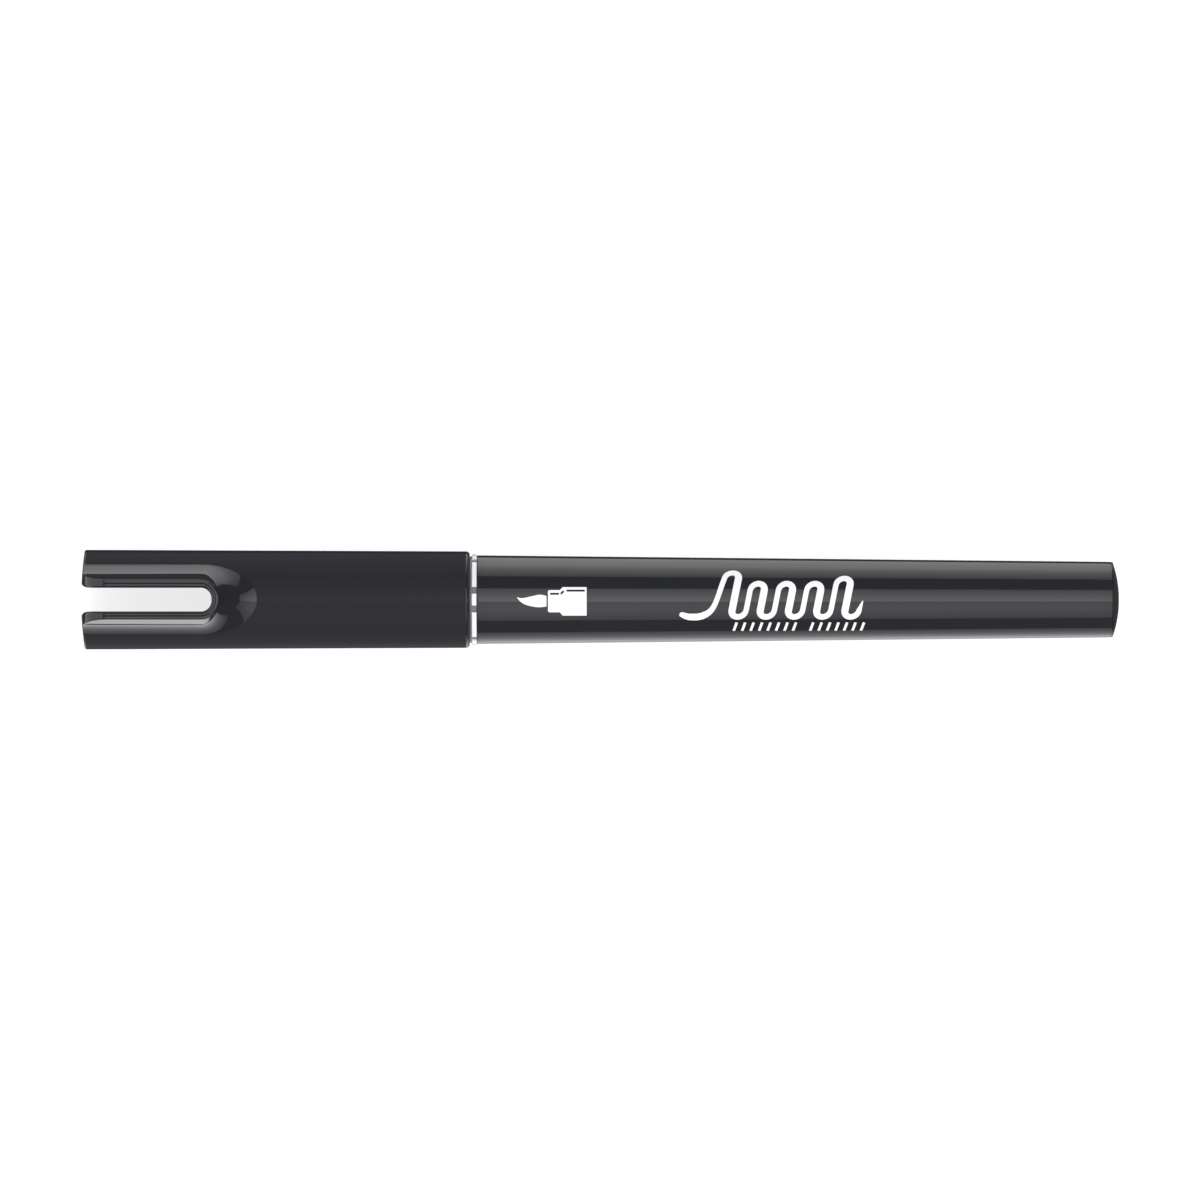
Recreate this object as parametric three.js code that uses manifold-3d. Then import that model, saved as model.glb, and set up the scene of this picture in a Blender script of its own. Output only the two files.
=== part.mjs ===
// A capped brush pen, in millimetres, with +Z up.
// The pen lies along X: the tail's flat centre is the origin and the cap's closed end is at -X.
// A slot splits the cap's closed end into two prongs, and a raised ridge runs round the slot on the +Z side.
import * as THREE from 'three';
import { mergeVertices } from 'three/addons/utils/BufferGeometryUtils.js';
import Module from 'manifold-3d';

const wasm = await Module();
wasm.setup();

// ---- Driving dimensions ----

const penLength = 140.0;
const capLength = 52.4;
const capLipRadius = 6.51;
const capEndRadius = 6.72;
const barrelFrontRadius = 5.98;
const barrelRearRadius = 5.10;

const capEndX = -penLength;
const capLipX = capEndX + capLength;
const collarFrontX = capLipX + 0.03;
const collarRearX = capLipX + 0.98;
const barrelFrontX = collarRearX + 0.02;
const barrelRearX = -0.95;

// The cap's slot and the ridge round it
const capWall = 1.1;
const endDomeRadius = 46;
const slotHalfWidth = 1.6;
const slotRootX = capEndX + 17.85;
const slotCornerRadius = 1.45;
const slotFlareLength = 1.4;
const slotFlareRise = 1.0;
const ridgeTopZ = 10.0;
const ridgeSideWidth = 1.0;
const ridgeRootWidth = 0.85;
const ridgeEdgeRadius = 0.28;
const ridgeWallDraft = THREE.MathUtils.degToRad(15.5);
const ridgeFilletRadius = 5.8;
const ridgeFrontRadius = 2.8;
const ridgeBaseZ = 2;

// The holder that carries the nib
const collarRadius = 6.12;
const collarStepRadius = 5.85;
const collarStepX = capLipX + 0.33;
const collarNotchWidth = 0.95;
const collarNotchPairs = 5;
const collarNotchAngle = THREE.MathUtils.degToRad(12);
const holderRadius = 4.75;
const holderFrontX = capLipX - 11.9;
const snapBeadRadius = 4.93;
const snapBeadX = capLipX - 3.4;
const noseRadius = 3.6;
const noseRearX = holderFrontX - 2;
const noseFrontX = noseRearX - 4.5;
const noseBoreRadius = 2.3;
const spigotRadius = 4.9;
const spigotRearX = barrelFrontX + 14.6;
const nibRadius = 2.1;
const nibReach = 10;
const nibRodRadius = 1.9;
const bushRadius = 2.85;
const bushFrontX = noseFrontX + 3.05;
const bushLength = 13;

// Inside the barrel
const socketRadius = 4.95;
const reservoirRadius = 4.0;
const filmThickness = 0.22;
const reservoirFrontX = barrelFrontX + 9.6;
const reservoirRearX = -9;
const plugRadius = 4.05;
const plugDepth = 6.5;

const outsideSegments = 48;
const insideSegments = 32;
const runningGap = 0.05;

// ---- Shape helpers ----

/** A closed geometry as a solid that can be joined and cut. */
function solid(geometry) {
  const bare = geometry.index ? geometry.toNonIndexed() : geometry.clone();
  bare.deleteAttribute('normal');
  bare.deleteAttribute('uv');
  const merged = mergeVertices(bare, 1e-4);
  const index = merged.index.array;
  const triangles = [];
  for (let i = 0; i < index.length; i += 3) {
    const [a, b, c] = [index[i], index[i + 1], index[i + 2]];
    if (a !== b && b !== c && c !== a) triangles.push(a, b, c);
  }
  const positions = merged.attributes.position.array;
  if (signedVolume(positions, triangles) < 0) triangles.reverse();
  return new wasm.Manifold(new wasm.Mesh({
    numProp: 3,
    vertProperties: positions,
    triVerts: new Uint32Array(triangles),
  }));
}

function signedVolume(positions, triangles) {
  const corner = (i) => new THREE.Vector3().fromArray(positions, 3 * triangles[i]);
  let volume = 0;
  for (let i = 0; i < triangles.length; i += 3) {
    volume += corner(i).dot(corner(i + 1).cross(corner(i + 2))) / 6;
  }
  return volume;
}

/** A solid of revolution about X. The profile is a list of [x, radius] points. */
function turned(profile, segments) {
  const points = profile.map(([x, radius]) => new THREE.Vector2(radius, x));
  return solid(new THREE.LatheGeometry(points, segments).rotateZ(-Math.PI / 2));
}

/** A turned ring or tube: its profile closes on itself. */
function turnedRing(profile, segments) {
  return turned([...profile, profile[0]], segments);
}

/** An outline drawn in X and Y, extruded from one height to another. */
function prismAlongZ(shape, low, high) {
  const geometry = new THREE.ExtrudeGeometry(shape, { depth: high - low, bevelEnabled: false, curveSegments: 5 });
  return solid(geometry.translate(0, 0, low));
}

/** An outline drawn in X and Z, extruded evenly to both sides of the pen. */
function prismAlongY(shape, halfWidth) {
  const options = { depth: 2 * halfWidth, bevelEnabled: false, curveSegments: 5 };
  const geometry = new THREE.ExtrudeGeometry(shape, options).rotateX(Math.PI / 2);
  return solid(geometry.translate(0, halfWidth, 0));
}

function block(lengthX, lengthY, lengthZ, x, y, z, turn = 0) {
  const geometry = new THREE.BoxGeometry(lengthX, lengthY, lengthZ).translate(x, y, z);
  return solid(geometry.rotateX(turn));
}

/** Points of an arc in a turned profile, from one angle to another, in degrees. */
function arc(centreX, centreRadius, radius, fromDegrees, toDegrees, steps) {
  return Array.from({ length: steps + 1 }, (_, i) => {
    const angle = THREE.MathUtils.degToRad(fromDegrees + (toDegrees - fromDegrees) * i / steps);
    return [centreX + radius * Math.cos(angle), centreRadius + radius * Math.sin(angle)];
  });
}

/** A closed solid through rings of points, with a fan of faces over each end. */
function lofted(rings) {
  const corners = [];
  const face = (a, b, c) => corners.push(...a.toArray(), ...b.toArray(), ...c.toArray());
  for (let i = 0; i + 1 < rings.length; i += 1) {
    rings[i].forEach((point, j) => {
      const next = (j + 1) % rings[i].length;
      face(point, rings[i + 1][j], rings[i + 1][next]);
      face(point, rings[i + 1][next], rings[i][next]);
    });
  }
  const first = rings[0];
  const last = rings[rings.length - 1];
  const outline = first.map((point) => new THREE.Vector2(point.y, point.z));
  const endFaces = THREE.ShapeUtils.triangulateShape(outline, []);
  if (THREE.ShapeUtils.isClockWise(outline)) endFaces.forEach((endFace) => endFace.reverse());
  for (const [a, b, c] of endFaces) {
    face(first[a], first[b], first[c]);
    face(last[a], last[c], last[b]);
  }
  const geometry = new THREE.BufferGeometry();
  geometry.setAttribute('position', new THREE.Float32BufferAttribute(corners, 3));
  return solid(geometry);
}

// ---- The cap ----

/** The cap's outer radius: it is drafted from the closed end down to the lip. */
function capRadiusAt(x) {
  return capLipRadius + (capEndRadius - capLipRadius) * (capLipX - x) / capLength;
}

/** The slot's outline, grown outwards by a margin. Without a margin its mouth flares. */
function slotOutline(margin) {
  const halfWidth = slotHalfWidth + margin;
  const corner = slotCornerRadius + margin;
  const rootX = slotRootX + margin;
  const mouthX = capEndX - 2;
  const flareX = capEndX + slotFlareLength;
  const flareY = slotHalfWidth + slotFlareRise;
  const outline = new THREE.Shape();
  if (margin > 0) {
    outline.moveTo(mouthX, -halfWidth);
  } else {
    outline.moveTo(mouthX, -flareY);
    outline.lineTo(capEndX, -flareY);
    outline.absellipse(flareX, -flareY, slotFlareLength, slotFlareRise, Math.PI, Math.PI / 2, true);
  }
  outline.lineTo(rootX - corner, -halfWidth);
  outline.absarc(rootX - corner, -halfWidth + corner, corner, -Math.PI / 2, 0, false);
  outline.absarc(rootX - corner, halfWidth - corner, corner, 0, Math.PI / 2, false);
  if (margin > 0) {
    outline.lineTo(mouthX, halfWidth);
  } else {
    outline.lineTo(flareX, halfWidth);
    outline.absellipse(flareX, flareY, slotFlareLength, slotFlareRise, -Math.PI / 2, -Math.PI, true);
    outline.lineTo(mouthX, flareY);
  }
  return outline;
}

/** Where the ridge's sections stand: points on the slot's wall and the way out from each. */
function slotWallStations() {
  const cornerX = slotRootX - slotCornerRadius;
  const cornerY = slotHalfWidth - slotCornerRadius;
  const cornerSteps = 5;
  const halfPath = [{ x: capEndX, y: slotHalfWidth, turn: Math.PI / 2 }];
  for (let i = 0; i <= cornerSteps; i += 1) {
    const turn = Math.PI / 2 * (1 - i / cornerSteps);
    const x = cornerX + slotCornerRadius * Math.cos(turn);
    halfPath.push({ x, y: cornerY + slotCornerRadius * Math.sin(turn), turn });
  }
  const otherHalf = halfPath.map(({ x, y, turn }) => ({ x, y: -y, turn: -turn })).reverse();
  return [...halfPath, ...otherHalf];
}

/** How wide the ridge's top is: a little narrower round the slot's root than along its sides. */
function ridgeWidthAt(turn) {
  return ridgeRootWidth + (ridgeSideWidth - ridgeRootWidth) * Math.sin(turn) ** 2;
}

/** The value between two others where a test that starts true turns false. */
function turningPoint(low, high, holds) {
  let [before, after] = [low, high];
  for (let i = 0; i < 50; i += 1) {
    const middle = (before + after) / 2;
    if (holds(middle)) before = middle;
    else after = middle;
  }
  return before;
}

/**
 * One section of the ridge, on the way out from the slot's wall at a station.
 * Its drafted outer wall runs down into a fillet, shaped as by a ball that rolls between the wall and the cap.
 */
function ridgeSection({ x, y, turn }) {
  const sink = 0.05;
  const insideSlot = -0.5;
  const edgeZ = ridgeTopZ - ridgeEdgeRadius;
  const out = new THREE.Vector3(Math.cos(turn), Math.sin(turn), 0);
  const pointAt = (distance, z) => new THREE.Vector3(x, y, z).addScaledVector(out, distance);
  const wallAt = (z) => pointAt(ridgeWidthAt(turn) + (ridgeTopZ - z) * Math.tan(ridgeWallDraft), z);
  const wallNormal = out.clone().multiplyScalar(Math.cos(ridgeWallDraft));
  wallNormal.z = Math.sin(ridgeWallDraft);
  const ballCentre = (z) => wallAt(z).addScaledVector(wallNormal, ridgeFilletRadius);
  const insideCap = (z) => {
    const centre = ballCentre(z);
    return Math.hypot(centre.y, centre.z) < capRadiusAt(centre.x) - sink + ridgeFilletRadius;
  };
  const wallFootZ = turningPoint(0, ridgeTopZ + ridgeFilletRadius, insideCap);
  const centre = ballCentre(wallFootZ);
  const toWall = wallNormal.clone().negate();
  const toCap = new THREE.Vector3(0, -centre.y, -centre.z).normalize();
  const sweep = toWall.angleTo(toCap);
  const filletAt = (share) => centre.clone()
    .addScaledVector(toWall, ridgeFilletRadius * Math.sin(sweep * (1 - share)) / Math.sin(sweep))
    .addScaledVector(toCap, ridgeFilletRadius * Math.sin(sweep * share) / Math.sin(sweep));
  // Round the slot's root the fillet reaches the ridge's top edge, so it starts there.
  const filletStart = wallFootZ > edgeZ ? turningPoint(0, 1, (share) => filletAt(share).z > edgeZ) : 0;
  const filletSteps = 6;
  const fillet = Array.from({ length: filletSteps + 1 }, (_, i) =>
    filletAt(filletStart + (1 - filletStart) * i / filletSteps));
  const edge = wallFootZ > edgeZ ? fillet[0] : wallAt(edgeZ);
  const foot = fillet[filletSteps];
  return [
    pointAt(insideSlot, ridgeTopZ),
    edge.clone().addScaledVector(out, -ridgeEdgeRadius).setZ(ridgeTopZ),
    edge,
    ...fillet,
    foot.clone().setZ(ridgeBaseZ),
    pointAt(insideSlot, ridgeBaseZ),
  ];
}

/** The side view of the ridge: its front top corner is rounded off. */
function ridgeSideView() {
  const frontX = capEndX + capEndRadius ** 2 / (2 * endDomeRadius);
  const side = new THREE.Shape();
  side.moveTo(frontX, 0);
  side.lineTo(frontX, ridgeTopZ - ridgeFrontRadius);
  side.absarc(frontX + ridgeFrontRadius, ridgeTopZ - ridgeFrontRadius,
    ridgeFrontRadius, Math.PI, Math.PI / 2, true);
  side.lineTo(slotRootX + 10, ridgeTopZ);
  side.lineTo(slotRootX + 10, 0);
  return side;
}

function capShell() {
  const lipRound = 0.5;
  const endRound = 0.25;
  const boreLipRadius = 5.45;
  const boreEndRadius = 5.35;
  const snapRingRadius = snapBeadRadius + runningGap;
  const snapRingX = capLipX - 1.8;
  const snapRingHalfWidth = 0.5;
  const domeEdgeAngle = THREE.MathUtils.radToDeg(Math.asin((capEndRadius - endRound) / endDomeRadius));
  const dome = arc(capEndX + endDomeRadius, 0, endDomeRadius, 180, 180 - domeEdgeAngle, 4);
  const edgeX = dome[dome.length - 1][0];
  const outside = turned([
    ...dome.slice(0, -1),
    ...arc(edgeX + endRound, capEndRadius - endRound, endRound, 180, 90, 2),
    ...arc(capLipX - lipRound, capLipRadius - lipRound, lipRound, 90, 0, 3),
    [capLipX, 0],
  ], outsideSegments);
  const ridge = lofted(slotWallStations().map(ridgeSection)).intersect(prismAlongY(ridgeSideView(), 8));
  const slot = prismAlongZ(slotOutline(0), -8, 12);
  const bore = turned([
    [capEndX + capWall, 0],
    [capEndX + capWall, boreEndRadius],
    [snapRingX - 1.2, boreLipRadius],
    [snapRingX - snapRingHalfWidth, snapRingRadius],
    [snapRingX + snapRingHalfWidth, snapRingRadius],
    [snapRingX + 1.2, boreLipRadius],
    [capLipX + 1, boreLipRadius],
    [capLipX + 1, 0],
  ], outsideSegments);
  const slotWalls = prismAlongZ(slotOutline(capWall), -8, 12);
  return outside.add(ridge).subtract(bore.subtract(slotWalls)).subtract(slot);
}

function capLiner() {
  const closedX = slotRootX + capWall + 0.3;
  const wall = 0.8;
  const chamberRadius = 3.95;
  const sealRadius = noseRadius + runningGap;
  const flangeRadius = 5.3;
  const openX = noseRearX - 0.4;
  return turned([
    [closedX, 0],
    [closedX, flangeRadius],
    [closedX + 1.5, flangeRadius],
    [closedX + 1.5, chamberRadius + wall],
    [openX - 3.2, chamberRadius + wall],
    [openX - 3.2, flangeRadius],
    [openX, flangeRadius],
    [openX, sealRadius + 0.35],
    [openX - 0.4, sealRadius],
    [noseFrontX - 0.2, sealRadius],
    [noseFrontX - 0.6, chamberRadius],
    [closedX + wall, chamberRadius],
    [closedX + wall, 0],
  ], insideSegments);
}

// ---- The nib and its holder ----

/** The nose, the holder with its snap bead, the collar with its notched rim, and the spigot in the barrel. */
function frontSection() {
  const bushBoreRadius = bushRadius + runningGap;
  const noseRound = 0.3;
  const collarEdge = 0.1;
  const spigotChamfer = 0.5;
  const cupRadius = reservoirRadius + runningGap;
  const cupFrontX = reservoirFrontX - 0.5;
  const beadHalfWidth = 0.6;
  const notchFloorZ = collarStepRadius - 0.02;
  const cutterHeight = 2;
  const cutterLength = collarRearX - collarStepX + 0.2;
  let section = turnedRing([
    [noseFrontX, noseBoreRadius],
    ...arc(noseFrontX + noseRound, noseRadius - noseRound, noseRound, 180, 90, 2),
    [noseRearX, noseRadius],
    [holderFrontX, holderRadius],
    [snapBeadX - beadHalfWidth, holderRadius],
    [snapBeadX - beadHalfWidth / 2, snapBeadRadius],
    [snapBeadX + beadHalfWidth / 2, snapBeadRadius],
    [snapBeadX + beadHalfWidth, holderRadius],
    [collarFrontX, holderRadius],
    [collarFrontX, collarStepRadius],
    [collarStepX, collarStepRadius],
    [collarStepX, collarRadius - collarEdge],
    [collarStepX + collarEdge, collarRadius],
    [collarRearX, collarRadius],
    [collarRearX, spigotRadius],
    [spigotRearX - spigotChamfer, spigotRadius],
    [spigotRearX, spigotRadius - spigotChamfer],
    [spigotRearX, cupRadius],
    [cupFrontX, cupRadius],
    [cupFrontX, bushBoreRadius],
    [bushFrontX - runningGap, bushBoreRadius],
    [bushFrontX - runningGap, noseBoreRadius],
  ], outsideSegments);
  for (let pair = 0; pair < collarNotchPairs; pair += 1) {
    for (const side of [-1, 1]) {
      const turn = pair * 2 * Math.PI / collarNotchPairs + side * collarNotchAngle;
      section = section.subtract(block(cutterLength, collarNotchWidth, cutterHeight,
        collarStepX + cutterLength / 2, 0, notchFloorZ + cutterHeight / 2, -turn));
    }
  }
  return section;
}

/** The sleeve round the nib's rod. Grooves along its outside let air into the reservoir. */
function nibBush() {
  const rearX = bushFrontX + bushLength;
  const grooveWidth = 0.6;
  const grooveDepth = 0.35;
  let bush = turnedRing([
    [bushFrontX, nibRodRadius + runningGap],
    [bushFrontX, bushRadius],
    [rearX, bushRadius],
    [rearX, nibRodRadius + runningGap],
  ], insideSegments);
  for (let groove = 0; groove < 4; groove += 1) {
    const turn = groove * Math.PI / 2;
    bush = bush.subtract(block(bushLength + 2, grooveWidth, 2 * grooveDepth,
      bushFrontX + bushLength / 2, 0, bushRadius, turn));
  }
  return bush;
}

/** The nib's rod, from behind the nose's mouth back into the reservoir. */
function nibRoot() {
  const frontX = noseFrontX + 2.6;
  const rearX = reservoirFrontX + 4;
  const pointLength = 3;
  const pointRadius = 0.4;
  return turned([
    [frontX, 0],
    [frontX, nibRodRadius],
    [rearX - pointLength, nibRodRadius],
    [rearX, pointRadius],
    [rearX, 0],
  ], insideSegments);
}

/** The nib's free end: a brush-shaped point on a ball that turns at the nose's mouth. */
function nibTip() {
  const tipX = noseFrontX - nibReach;
  const tipRadius = 0.3;
  const shoulderX = noseFrontX - 3.2;
  const brush = new THREE.CubicBezierCurve(
    new THREE.Vector2(tipX + tipRadius, tipRadius),
    new THREE.Vector2(tipX + 2.4, 1.25),
    new THREE.Vector2(shoulderX - 2.2, nibRadius),
    new THREE.Vector2(shoulderX, nibRadius),
  );
  return turned([
    ...arc(tipX + tipRadius, 0, tipRadius, 180, 90, 2),
    ...brush.getPoints(6).slice(1).map((point) => [point.x, point.y]),
    ...arc(noseFrontX, 0, nibRadius, 90, 0, 4),
  ], insideSegments);
}

// ---- The body and the ink ----

/** The barrel: a socket for the holder in front, a ribbed chamber, and a socket for the plug behind. */
function barrel() {
  const socketRearX = spigotRearX + 0.4;
  const plugSocketX = -plugDepth - 1.0;
  const plugSocketRadius = plugRadius + runningGap;
  const chamberFrontRadius = 4.75;
  const ribWidth = 0.8;
  const edge = 0.12;
  let tube = turnedRing([
    [barrelFrontX, socketRadius],
    [barrelFrontX, barrelFrontRadius - edge],
    [barrelFrontX + edge, barrelFrontRadius],
    [barrelRearX - edge, barrelRearRadius],
    [barrelRearX, barrelRearRadius - edge],
    [barrelRearX, plugSocketRadius],
    [plugSocketX, plugSocketRadius],
    [socketRearX, chamberFrontRadius],
    [socketRearX, socketRadius],
  ], outsideSegments);
  const ribInner = reservoirRadius + runningGap;
  const ribHeight = 0.9;
  const ribLength = plugSocketX - socketRearX;
  for (let rib = 0; rib < 4; rib += 1) {
    const turn = (rib + 0.5) * Math.PI / 2;
    const middleX = (plugSocketX + socketRearX) / 2;
    tube = tube.add(block(ribLength, ribWidth, ribHeight, middleX, 0, ribInner + ribHeight / 2, turn));
  }
  return tube;
}

function tailPlug() {
  const domeRadius = 15.3;
  const flatRadius = 1.25;
  const rimRadius = 5.0;
  const flangeX = barrelRearX + 0.02;
  const wall = 0.8;
  const innerX = -1.5;
  const flatAngle = THREE.MathUtils.radToDeg(Math.asin(flatRadius / domeRadius));
  const rimAngle = THREE.MathUtils.radToDeg(Math.asin(rimRadius / domeRadius));
  const domeCentreX = -domeRadius * Math.cos(THREE.MathUtils.degToRad(flatAngle));
  return turned([
    [0, 0],
    ...arc(domeCentreX, 0, domeRadius, flatAngle, rimAngle, 3),
    [flangeX, barrelRearRadius],
    [flangeX, plugRadius],
    [-plugDepth + 0.4, plugRadius],
    [-plugDepth, plugRadius - 0.3],
    [-plugDepth, plugRadius - wall],
    [innerX, plugRadius - wall],
    [innerX, 0],
  ], outsideSegments);
}

function reservoirCore() {
  const radius = reservoirRadius - filmThickness - 0.03;
  const nibHoleRadius = nibRodRadius + runningGap;
  const nibHoleDepth = 4.3;
  return turned([
    [reservoirRearX, 0],
    [reservoirRearX, radius],
    [reservoirFrontX, radius],
    [reservoirFrontX, nibHoleRadius],
    [reservoirFrontX + nibHoleDepth, nibHoleRadius],
    [reservoirFrontX + nibHoleDepth, 0],
  ], insideSegments);
}

function reservoirFilm() {
  const overhang = 0.3;
  return turnedRing([
    [reservoirRearX + overhang, reservoirRadius - filmThickness],
    [reservoirRearX + overhang, reservoirRadius],
    [reservoirFrontX - overhang, reservoirRadius],
    [reservoirFrontX - overhang, reservoirRadius - filmThickness],
  ], insideSegments);
}

// ---- The assembly ----

/** A named mesh from a finished solid, with its own material. */
function piece(name, made, color, roughness) {
  const { numProp, vertProperties, triVerts } = made.getMesh();
  const geometry = new THREE.BufferGeometry();
  const corners = new THREE.InterleavedBuffer(vertProperties, numProp);
  geometry.setAttribute('position', new THREE.InterleavedBufferAttribute(corners, 3, 0));
  geometry.setIndex(new THREE.BufferAttribute(triVerts, 1));
  const flat = geometry.toNonIndexed();
  flat.computeVertexNormals();
  const mesh = new THREE.Mesh(flat, new THREE.MeshStandardMaterial({ color, roughness, metalness: 0 }));
  mesh.name = name;
  return mesh;
}

const darkPlastic = 0x2a2a2e;
const whitePlastic = 0xf2f2f4;

const group = new THREE.Group();
group.add(
  piece('cap_shell', capShell(), darkPlastic, 0.45),
  piece('cap_liner', capLiner(), whitePlastic, 0.4),
  piece('front_section', frontSection(), whitePlastic, 0.3),
  piece('nib_bush', nibBush(), whitePlastic, 0.4),
  piece('nib_root', nibRoot(), 0x3a3a40, 0.9),
  piece('nib_tip', nibTip(), 0x18181c, 0.8),
  piece('barrel', barrel(), darkPlastic, 0.15),
  piece('tail_plug', tailPlug(), darkPlastic, 0.15),
  piece('reservoir_core', reservoirCore(), 0x1c1c22, 0.95),
  piece('reservoir_film', reservoirFilm(), 0xd8dce0, 0.2),
);

export default group;
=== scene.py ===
"""A capped brush pen, lying on a pale floor and seen from straight above.

The pen lies along X with its tail at the origin. Shapes are worked out in millimetres and stored in metres.
"""
import math

import bmesh
import bpy
from mathutils import Matrix, Vector


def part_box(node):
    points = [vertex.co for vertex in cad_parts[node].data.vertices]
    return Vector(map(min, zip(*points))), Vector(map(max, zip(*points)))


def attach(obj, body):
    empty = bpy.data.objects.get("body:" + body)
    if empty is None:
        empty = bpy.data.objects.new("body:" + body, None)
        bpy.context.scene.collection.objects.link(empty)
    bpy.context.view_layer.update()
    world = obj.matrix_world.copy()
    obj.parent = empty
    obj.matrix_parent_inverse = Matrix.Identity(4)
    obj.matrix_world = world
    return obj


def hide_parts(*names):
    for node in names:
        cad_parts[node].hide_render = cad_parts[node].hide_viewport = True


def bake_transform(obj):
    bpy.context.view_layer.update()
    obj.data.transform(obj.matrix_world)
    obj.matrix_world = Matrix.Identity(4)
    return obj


MM = 0.001
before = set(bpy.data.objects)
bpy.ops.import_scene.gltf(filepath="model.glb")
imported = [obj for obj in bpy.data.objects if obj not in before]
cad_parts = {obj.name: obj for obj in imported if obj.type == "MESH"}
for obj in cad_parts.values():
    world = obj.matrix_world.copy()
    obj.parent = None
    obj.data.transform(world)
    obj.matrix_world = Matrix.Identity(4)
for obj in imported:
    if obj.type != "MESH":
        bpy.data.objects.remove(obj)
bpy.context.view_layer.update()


def box_mm(node):
    """A CAD node's lowest and highest corners, in millimetres."""
    low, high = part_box(node)
    return low / MM, high / MM


# ---- Places from the frame, in millimetres ----

cap_high = box_mm("cap_shell")[1]
barrel_low, barrel_high = box_mm("barrel")
section_low, section_high = box_mm("front_section")
plug_low, plug_high = box_mm("tail_plug")
liner_low, liner_high = box_mm("cap_liner")
nib_low, nib_high = box_mm("nib_tip")
root_high = box_mm("nib_root")[1]
bush_low, bush_high = box_mm("nib_bush")
core_low, core_high = box_mm("reservoir_core")
film_low, film_high = box_mm("reservoir_film")

# ---- Sizes, in millimetres: places along X end in _X and heights in _Z ----

# The gap round a piece that fits in another.
RUNNING_GAP = 0.05

CAP_LENGTH = 52.4
CAP_LIP_X = cap_high.x
CAP_END_X = CAP_LIP_X - CAP_LENGTH
CAP_END_RADIUS = cap_high.y
CAP_TAPER = 0.21
CAP_LIP_RADIUS = CAP_END_RADIUS - CAP_TAPER
CAP_BORE_RADIUS = 5.4
CAP_WALL = 1.1
END_DOME_RADIUS = 46.0
# Where the end dome's rim comes round to the cap's side.
DOME_RIM_X = CAP_END_X + CAP_END_RADIUS ** 2 / (2 * END_DOME_RADIUS)
END_ROUND = 0.25
LIP_ROUND = 0.45

SLOT_HALF_WIDTH = 1.6
SLOT_ROOT_X = CAP_END_X + 17.85
SLOT_CORNER_RADIUS = 1.45
SLOT_FLARE_LENGTH = 1.4
SLOT_FLARE_RISE = 1.0
SLOT_TOP_ROUND = 0.42
SLOT_BOTTOM_ROUND = 0.3
RIDGE_TOP_Z = cap_high.z
RIDGE_TOP_WIDTH = 1.0
RIDGE_ROOT_WIDTH = 0.85
RIDGE_EDGE_RADIUS = 0.28
RIDGE_WALL_DRAFT = math.radians(15.5)
RIDGE_FILLET_RADIUS = 5.8
RIDGE_FRONT_RADIUS = 3.3
# The fillet dips this far into the cap, so that the two surfaces cross and don't just touch.
RIDGE_SINK = 0.003
# The ridge's hidden parts: how far it reaches into the slot before that is cut, and its floor in the cap.
RIDGE_INTO_SLOT = 0.6
RIDGE_FLOOR_Z = 3.0
GROOVE_OFFSET = 0.59
GROOVE_WIDTH = 0.22
GROOVE_SLOPE = math.radians(30.5)
GROOVE_END_X = CAP_END_X + 3.3

COLLAR_FRONT_X = CAP_LIP_X + 0.03
COLLAR_STEP_X = CAP_LIP_X + 0.33
COLLAR_REAR_X = CAP_LIP_X + 0.98
COLLAR_RADIUS = section_high.y
COLLAR_STEP_RADIUS = COLLAR_RADIUS - 0.27
COLLAR_NOTCH_WIDTH = 0.95
COLLAR_NOTCH_PAIRS = 5
COLLAR_NOTCH_ANGLE = math.radians(12)
# The notches go this much deeper than the collar's step, so that no two surfaces lie on each other.
NOTCH_SINK = 0.02
HOLDER_RADIUS = 4.75
HOLDER_FRONT_X = CAP_LIP_X - 11.9
NOSE_RADIUS = 3.6
NOSE_REAR_X = HOLDER_FRONT_X - 2
NOSE_FRONT_X = section_low.x
NOSE_BORE_RADIUS = 2.3
BUSH_RADIUS = 2.85
SPIGOT_RADIUS = 4.9

BARREL_FRONT_RADIUS = barrel_high.y
BARREL_REAR_RADIUS = plug_high.y
BARREL_FRONT_X = barrel_low.x
BARREL_REAR_X = barrel_high.x
PLUG_SOCKET_RADIUS = 4.1
NIB_RADIUS = nib_high.y

OUTSIDE_SEGMENTS = 256
INSIDE_SEGMENTS = 128
WELD_DISTANCE = 0.001


# ---- Mesh helpers ----

def add_object(name, mesh):
    piece = bpy.data.objects.new(name, mesh)
    bpy.context.scene.collection.objects.link(piece)
    return piece


def mesh_from(name, points_mm, faces):
    """A mesh object from points in millimetres, with its faces turned outwards."""
    mesh = bpy.data.meshes.new(name)
    mesh.from_pydata([tuple(c * MM for c in point) for point in points_mm], [], faces)
    shape = bmesh.new()
    shape.from_mesh(mesh)
    bmesh.ops.recalc_face_normals(shape, faces=shape.faces)
    shape.to_mesh(mesh)
    shape.free()
    return add_object(name, mesh)


def smooth(piece, sharp_degrees=32):
    """Smooth shading that keeps real edges crisp and broad faces flat."""
    piece.data.shade_smooth()
    piece.data.set_sharp_from_angle(angle=math.radians(sharp_degrees))
    weighted = piece.modifiers.new("weighted", "WEIGHTED_NORMAL")
    weighted.keep_sharp = True
    return piece


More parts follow.
